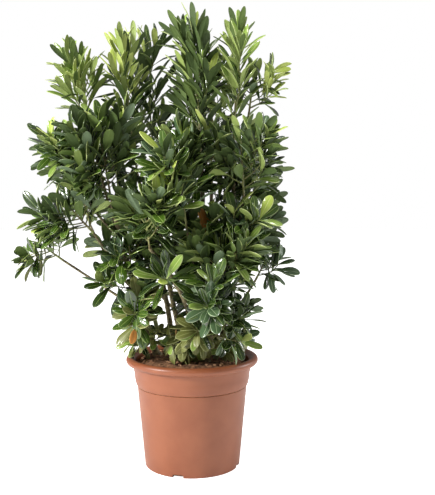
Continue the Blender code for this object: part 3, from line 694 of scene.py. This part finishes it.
# Tints dealt to the leaves of each kind of shoot, each up to this share of them. The blue-grey tint is
# painted sheen, the white room reflected in the gloss, and painted fill light on the low shoots.
tintShares = {
    "young": (("young", 0.60), ("light", 1.0)),
    "pale": (("light", 0.60), ("young", 0.68), ("mid", 0.92), ("dark", 1.0)),
    "upright": (("light", 0.12), ("mid", 0.48), ("dark", 1.0)),
    "bushy": (("light", 0.10), ("mid", 0.46), ("blueSheen", 0.56), ("dark", 1.0)),
    "whorl": (("light", 0.16), ("mid", 0.62), ("blueSheen", 0.78), ("dark", 1.0)),
    "blueSheen": (("blueSheen", 0.55), ("dark", 1.0)),
    "old": (("olive", 0.30), ("mid", 0.75), ("dark", 1.0)),
    "basal": (("olive", 0.68), ("light", 0.84), ("dark", 1.0)),
    "tip": (("young", 0.16), ("light", 1.0)),
}
# Shoots that don't take the tints of their habit. The top right and top left shoots are paler, partly young
# growth and partly painted light where the key light falls on them. The low right shoots take the blue-grey
# tint, which is painted sheen and painted fill light.
shootTints = {
    "foliage_top_middle_left": "young", "foliage_right_upper": "young",
    "foliage_top_right": "pale", "foliage_top_left": "pale",
    "foliage_low_front_left": "old", "foliage_low_left": "old",
    "foliage_basal_left": "basal", "foliage_basal_right": "basal",
    "foliage_right_low": "blueSheen", "foliage_far_right": "blueSheen",
    "foliage_low_right": "blueSheen", "foliage_low_front_right": "blueSheen",
}
tinting = {
    "dead": 0.006, "deadBelow": 0.6, "youngFrom": 0.5, "tipFrom": 0.88, "tips": 0.45,
    "withTips": ("upright", "bushy", "whorl", "blueSheen"),
}


# Tint of a leaf: young at the shoot's end, older inwards, dead only low in the crown. Elsewhere it takes its
# shoot's tints, which include painted sheen on some low shoots and painted light on some top shoots.
def tintOf(name, habit, place, height, draw):
    if draw < tinting["dead"]:
        return "dead" if height < tinting["deadBelow"] else "light"
    kind = shootTints.get(name, habit)
    if kind == "young" and place <= tinting["youngFrom"]:
        kind = habit
    if kind in tinting["withTips"] and place > tinting["tipFrom"] and draw < tinting["tips"]:
        kind = "tip"
    return next(tint for tint, upTo in tintShares[kind] if draw < upTo)


# Leaves along a twig, crowded towards its end, where they are smaller and stand closer to it. A pair
# is the least and the most that one leaf draws.
growth = {
    "seed": 20, "wander": 0.3, "leastOnTwig": 4, "sideWeight": 1.5, "sideBare": 0.30,
    "firstPlace": 0.6, "crowding": 0.72, "lastPlace": 0.99, "closing": 1.1, "angles": (0.85, 1.12),
    "length": 0.111, "lengths": (0.78, 1.12), "onSide": 0.86,
    "tipShorter": 0.16, "shortFrom": 0.80, "shortOver": 0.20,
    "widths": (0.88, 1.14), "folds": (0.06, 0.38), "droops": (0.02, 0.22), "basalDroop": 0.12,
}
# Shoots that the photograph shows more open than the others of their habit
sparse = {
    "foliage_top_right": 0.62, "foliage_right_upper": 0.8, "foliage_top_rear_right": 0.6,
    "foliage_top_middle_left": 0.85, "foliage_top_rear_left": 0.75, "foliage_top_left": 0.9,
}


def addLeaves(rule, twig, isSide, onTwig, leaves):
    draws = rule["random"]
    habit = habits[rule["habit"]]
    bare = growth["sideBare"] if isSide else habit["bare"]
    for number in range(onTwig):
        place = (number + growth["firstPlace"]) / onTwig
        along = bare + (1 - bare) * place ** growth["crowding"] * growth["lastPlace"]
        angle = radians(habit["atFoot"] + (habit["atTip"] - habit["atFoot"]) * place ** growth["closing"])
        wander = draws.uniform(-growth["wander"], growth["wander"])
        bearing = rule["first"] + radians(goldenAngle) * number + wander
        shorter = 1.0 - growth["tipShorter"] * max(0.0, place - growth["shortFrom"]) / growth["shortOver"]
        length = growth["length"] * habit["length"] * rule["size"] * shorter
        length *= draws.uniform(*growth["lengths"])
        length *= growth["onSide"] if isSide else 1.0
        angle *= draws.uniform(*growth["angles"])
        leaf = placeLeaf(rule, twig, along, bearing, angle, length, habit["lift"])
        draw = draws.random()
        if leaf:
            leaf["width"] = habit["width"] * draws.uniform(*growth["widths"])
            leaf["fold"] = draws.uniform(*growth["folds"])
            leaf["droop"] = draws.uniform(*growth["droops"])
            if rule["habit"] == "basal":
                leaf["droop"] += growth["basalDroop"]
            leaf["wave"] = draws.uniform(0.0, tau)
            tint = tintOf(rule["name"], rule["habit"], place, leaf["root"].z, draw)
            leaves.setdefault(tint, []).append(leaf)


def growMass(name, leaves, wood):
    habitName, count, size = masses[name][5:]
    habit = habits[habitName]
    draws = random.Random(growth["seed"] + sum(map(ord, name)))
    rule = {"name": name, "habit": habitName, "size": size, "random": draws, "first": draws.uniform(0, tau)}
    rule["own"] = sites[name]
    rule["others"] = np.concatenate([sites[other] for other in sites if other != name])
    route = mainTwigs[name]
    twigs = [route] + sideTwigs(rule, route, habit)
    if name in innerShoots:
        twigs += innerTwigs(rule)
        count += innerForm["leaves"] * len(innerShoots[name][1])
    radii = taper(limbForm["shootRadius"], twigForm["tipRadius"], len(route))
    wood.add(route, radii, twigForm["sides"], barkRelief)
    for twig in twigs[1:]:
        radii = taper(twigForm["sideRadius"], twigForm["sideTipRadius"], len(twig))
        wood.add(twig, radii, twigForm["sideSides"])
    weights = [(twig[-1] - twig[0]).length * (growth["sideWeight"] if index else 1.0)
               for index, twig in enumerate(twigs)]
    for index, twig in enumerate(twigs):
        share = count * habit["more"] * sparse.get(name, 1.0) * weights[index] / sum(weights)
        addLeaves(rule, twig, index > 0, max(growth["leastOnTwig"], round(share)), leaves)


# Leaf blade: obovate, leathery, grooved at the midrib and rolled under at its margin
leafShape = {
    "stations": (0.0, 0.10, 0.25, 0.42, 0.57, 0.71, 0.84, 0.93, 0.98, 1.0),
    "columns": (-1.0, -0.91, -0.055, 0.055, 0.91, 1.0),
    "petiole": 0.09, "widest": 0.70, "wedge": 1.45, "tip": 0.13, "thickness": 0.0006,
    "groove": 0.05, "grooveTo": 0.2, "roll": 0.13, "rollFrom": 0.95,
    "arch": 0.16, "droopBend": 1.5, "ripples": 9.0, "ripple": 0.010,
}


def outlineAt(share):     # wedge from the petiole up to the widest place, then a round end
    widest = leafShape["widest"]
    if share > widest:
        return max(leafShape["tip"], (1 - ((share - widest) / (1 - widest)) ** 2) ** 0.5)
    return max(leafShape["petiole"], sin(pi / 2 * share / widest) ** leafShape["wedge"])


# Faces of one leaf, with the material of each: 0 blade, 1 midrib and margin, 2 underside
def leafFaces():
    rows, columns = len(leafShape["stations"]), len(leafShape["columns"])
    under = rows * columns
    faces, parts = [], []
    for row in range(rows - 1):
        for column in range(columns - 1):
            a = row * columns + column
            b, c, d = a + 1, a + columns + 1, a + columns
            faces.append((a, b, c, d))
            parts.append(1 if column in (0, 2, 4) or row == 0 else 0)     # margins, midrib and petiole
            faces.append((under + d, under + c, under + b, under + a))
            parts.append(2)
        for column, flip in ((0, False), (columns - 1, True)):
            a, d = row * columns + column, (row + 1) * columns + column
            wall = (a, d, under + d, under + a)
            faces.append(tuple(reversed(wall)) if flip else wall)
            parts.append(1)
    for column in range(columns - 1):
        a, b = column, column + 1
        faces.append((under + a, under + b, b, a))
        parts.append(1)
        a, b = (rows - 1) * columns + column, (rows - 1) * columns + column + 1
        faces.append((a, b, under + b, under + a))
        parts.append(1)
    return np.array(faces), np.array(parts)


def leafPoints(leaves):
    def stack(key):
        return np.array([leaf[key] for leaf in leaves], float)
    root, along, across, facing = stack("root"), stack("along"), stack("across"), stack("facing")
    length, width, fold, droop, wave = (stack(key) for key in ("length", "width", "fold", "droop", "wave"))
    share = np.array(leafShape["stations"])
    outline = np.array([outlineAt(value) for value in share])
    column = np.array(leafShape["columns"])
    half = (length * width / 2)[:, None, None] * outline[None, :, None]
    sideways = half * column[None, None, :]
    size = length[:, None, None]
    edge = np.where(np.abs(column) > leafShape["rollFrom"], 1.0, 0.0)[None, None, :]
    middle = np.where(np.abs(column) < leafShape["grooveTo"], 1.0, 0.0)[None, None, :]
    bend = leafShape["arch"] * share - droop[:, None] * share ** 2 * leafShape["droopBend"]
    arch = size * bend[:, :, None]
    waves = np.sin(share[None, :] * leafShape["ripples"] + wave[:, None])[:, :, None]
    ripple = waves * np.abs(column) * size * leafShape["ripple"]
    height = arch + np.abs(sideways) * fold[:, None, None] - edge * half * leafShape["roll"]
    height = height + ripple - middle * half * leafShape["groove"]
    top = (root[:, None, None] + along[:, None, None] * (size * share[None, :, None])[..., None]
           + across[:, None, None] * sideways[..., None] + facing[:, None, None] * height[..., None])
    under = top - facing[:, None, None] * leafShape["thickness"]
    count = len(leaves)
    return np.concatenate([top.reshape(count, -1, 3), under.reshape(count, -1, 3)], axis=1)


# Tints of the leaves: blade, pale midrib and margin, matt underside; roughness and coat
tints = {
    "dark": ("#24370e", "#5c6f34", "#485a2e", 0.26, 0.80),
    "mid": ("#3e5818", "#84974c", "#5e7238", 0.26, 0.80),
    "light": ("#7d9740", "#b8c47e", "#8e9f56", 0.28, 0.55),
    # Blue-grey leaves: painted sheen of the white room on the gloss, and painted fill light on the low
    # shoots
    "blueSheen": ("#485f3e", "#879872", "#6e8160", 0.24, 0.70),
    "young": ("#a3b54c", "#c5ce80", "#a9b662", 0.42, 0.20),
    "olive": ("#6a6e36", "#969a60", "#7f8454", 0.46, 0.15),
    "dead": ("#b87a35", "#c99a5c", "#b58548", 0.70, 0.0),
}
leavesInPiece = 800     # keeps each piece under 200,000 triangles
leafFinish = {"ribRougher": 0.08, "undersideRoughness": 0.58}


def buildLeaves(tint, leaves, name):
    faces, parts = leafFaces()
    points = leafPoints(leaves)
    count, each = points.shape[0], points.shape[1]
    allFaces = (faces[None] + np.arange(count)[:, None, None] * each).reshape(-1, 4)
    mesh = bpy.data.meshes.new(name)
    mesh.from_pydata(points.reshape(-1, 3).tolist(), [], allFaces.tolist())
    blade, rib, under, roughness, coat = tints[tint]
    mesh.materials.append(waxedLeaf("waxedLeaf_" + tint, blade, roughness, coat))
    mesh.materials.append(waxedLeaf("leafRib_" + tint, rib, roughness + leafFinish["ribRougher"], coat))
    mesh.materials.append(waxedLeaf("leafUnderside_" + tint, under, leafFinish["undersideRoughness"], 0.0))
    mesh.polygons.foreach_set("material_index", np.tile(parts, count).astype(np.int32))
    mesh.shade_smooth()
    piece = bpy.data.objects.new(name, mesh)
    bpy.context.scene.collection.objects.link(piece)
    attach(piece, "root")


def growFoliage():
    leaves = {}
    wood = TubeMesh()
    for name in masses:
        growMass(name, leaves, wood)
    for tint in tints:
        group = leaves.get(tint, [])
        for number, first in enumerate(range(0, len(group), leavesInPiece)):
            buildLeaves(tint, group[first:first + leavesInPiece], f"leaves_{tint}_{number + 1}")
    twigs = wood.finish("foliageTwigs", greenWood())
    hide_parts(*masses)
    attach(twigs, "root")
    print("leaves grown:", {tint: len(group) for tint, group in leaves.items()})


growFoliage()


# Root ball that stands a little proud in the pot, crumbly on top
mix = {
    "top": 0.274, "topRadius": 0.112, "shoulder": (0.123, 0.268), "edgeHeight": 0.252, "edgeRadius": 0.1415,
    "floor": 0.0053, "floorRadius": 0.1162, "bearings": 160, "rings": 46,
    "clod": 0.0026, "clodScales": ((1.0, 60), (0.6, 170), (0.35, 420)), "noiseLevel": 0.3,
}


def mixHeight(radius):
    shoulderRadius, shoulderHeight = mix["shoulder"]
    if radius < mix["topRadius"]:
        return mix["top"]
    if radius < shoulderRadius:
        share = (radius - mix["topRadius"]) / (shoulderRadius - mix["topRadius"])
        return mix["top"] + (shoulderHeight - mix["top"]) * share
    share = min((radius - shoulderRadius) / (mix["edgeRadius"] - shoulderRadius), 1.0)
    return shoulderHeight + (mix["edgeHeight"] - shoulderHeight) * share


def clod(x, y):
    spot = Vector((x, y, mix["noiseLevel"]))
    return mix["clod"] * sum(weight * noise.noise(spot * scale) for weight, scale in mix["clodScales"])


def makeMix():
    points = [(0.0, 0.0, mix["top"] + clod(0.0, 0.0))]
    bearings, rings = mix["bearings"], mix["rings"]
    for ring in range(1, rings + 1):
        radius = mix["edgeRadius"] * ring / rings
        for step in range(bearings):
            bearing = tau * step / bearings
            x, y = radius * cos(bearing), radius * sin(bearing)
            points.append((x, y, mixHeight(radius) + (clod(x, y) if ring < rings else 0.0)))
    for step in range(bearings):
        bearing = tau * step / bearings
        points.append((mix["floorRadius"] * cos(bearing), mix["floorRadius"] * sin(bearing), mix["floor"]))
    points.append((0.0, 0.0, mix["floor"]))
    faces = []
    for step in range(bearings):
        after = (step + 1) % bearings
        faces.append((0, 1 + step, 1 + after))
        for ring in range(rings - 1):
            low = 1 + ring * bearings
            faces.append((low + step, low + bearings + step, low + bearings + after, low + after))
        rim = 1 + (rings - 1) * bearings
        faces.append((rim + step, rim + bearings + step, rim + bearings + after, rim + after))
        faces.append((rim + bearings + step, len(points) - 1, rim + bearings + after))
    piece = meshObject("rootBall", points, faces, peatMix())
    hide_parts("potting_mix")
    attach(piece, "root")
    print("root ball made")


makeMix()

# Bark chips strewn over the mix: torn flakes of six corners
chip = {
    "count": 210, "seed": 7, "within": 0.96, "lift": 0.0012, "tilt": 0.5,
    "lengths": (0.005, 0.014), "breadths": (0.003, 0.007), "thickness": 0.0026, "rough": (0.75, 1.1),
    "outline": ((1, 0.2), (0.5, 1), (-0.6, 0.8), (-1, -0.1), (-0.4, -1), (0.7, -0.8)),
}


def strewChips():
    draws = random.Random(chip["seed"])
    corners = len(chip["outline"])
    points, faces = [], []
    for number in range(chip["count"]):
        radius = mix["edgeRadius"] * chip["within"] * draws.random() ** 0.5
        bearing = draws.uniform(0, tau)
        x, y = radius * cos(bearing), radius * sin(bearing)
        centre = Vector((x, y, mixHeight(radius) + clod(x, y) + chip["lift"]))
        length, breadth = draws.uniform(*chip["lengths"]), draws.uniform(*chip["breadths"])
        turn = Matrix.Rotation(draws.uniform(0, tau), 3, "Z")
        turn = turn @ Matrix.Rotation(draws.uniform(-chip["tilt"], chip["tilt"]), 3, "X")
        first = len(points)
        for level in (-0.5, 0.5):
            for across, deep in chip["outline"]:
                rough = draws.uniform(*chip["rough"])
                spot = Vector((across * length / 2 * rough, deep * breadth / 2 * rough, 0.0))
                spot.z = level * chip["thickness"]
                points.append(centre + turn @ spot)
        faces.append(tuple(first + index for index in reversed(range(corners))))
        faces.append(tuple(first + corners + index for index in range(corners)))
        for index in range(corners):
            after = (index + 1) % corners
            faces.append((first + index, first + after, first + corners + after, first + corners + index))
    chips = meshObject("barkChips", points, faces, barkChip(), smooth=False)
    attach(chips, "root")
    print("chips strewn:", chip["count"])


strewChips()

# Studio: a pale floor, an even room, and soft lights left, right and above. Floor and room look white to
# the camera and light the plant with the strengths given here.
studio = {
    "floor": "#ffffff", "floorReach": 9.0, "floorGlow": 0.30, "room": 0.30,
    "lights": (
        ("keyLeft", (-2.2, -1.2, 1.5), (0.0, 0.0, 0.6), 0.55, 104.0),
        ("fillRight", (2.1, 0.5, 1.0), (0.05, 0.0, 0.4), 0.7, 22.0),
        ("top", (-0.1, -0.5, 2.6), (0.0, 0.0, 0.7), 0.6, 30.0),
    ),
}


# Strength that is 1 for what the camera sees and less for the light thrown on the plant
def addGlow(owner, shader, socket, strength):
    ray = addNode(owner, "ShaderNodeLightPath")
    glow = addNode(owner, "ShaderNodeMapRange", {"To Min": strength, "To Max": 1.0},
                   {"Value": (ray, "Is Camera Ray")})
    linkTo(owner, glow, "Result", shader, socket)


def makeStudio():
    reach = studio["floorReach"]
    points = [(-reach, -reach, 0.0), (reach, -reach, 0.0), (reach, reach, 0.0), (-reach, reach, 0.0)]
    paint, shader = newMaterial("paintedFloor", studio["floor"], 0.9, {"Specular IOR Level": 0.0})
    shader.inputs["Emission Color"].default_value = colourOf(studio["floor"])
    addGlow(paint, shader, "Emission Strength", studio["floorGlow"])
    floor = meshObject("studioFloor", points, [(0, 1, 2, 3)], paint)
    for name, place, target, size, power in studio["lights"]:
        data = bpy.data.lights.new(name, "AREA")
        data.shape = "DISK"
        data.size = size
        data.energy = power
        light = bpy.data.objects.new(name, data)
        light.location = place
        light.rotation_euler = (Vector(target) - Vector(place)).to_track_quat("-Z", "Y").to_euler()
        bpy.context.scene.collection.objects.link(light)
    world = bpy.data.worlds.new("studioRoom")
    world.use_nodes = True
    world.node_tree.nodes["Background"].inputs["Color"].default_value = (1.0, 1.0, 1.0, 1.0)
    addGlow(world, world.node_tree.nodes["Background"], "Strength", studio["room"])
    bpy.context.scene.world = world
    bpy.context.scene.view_settings.view_transform = "Standard"
    print("studio lit")


makeStudio()
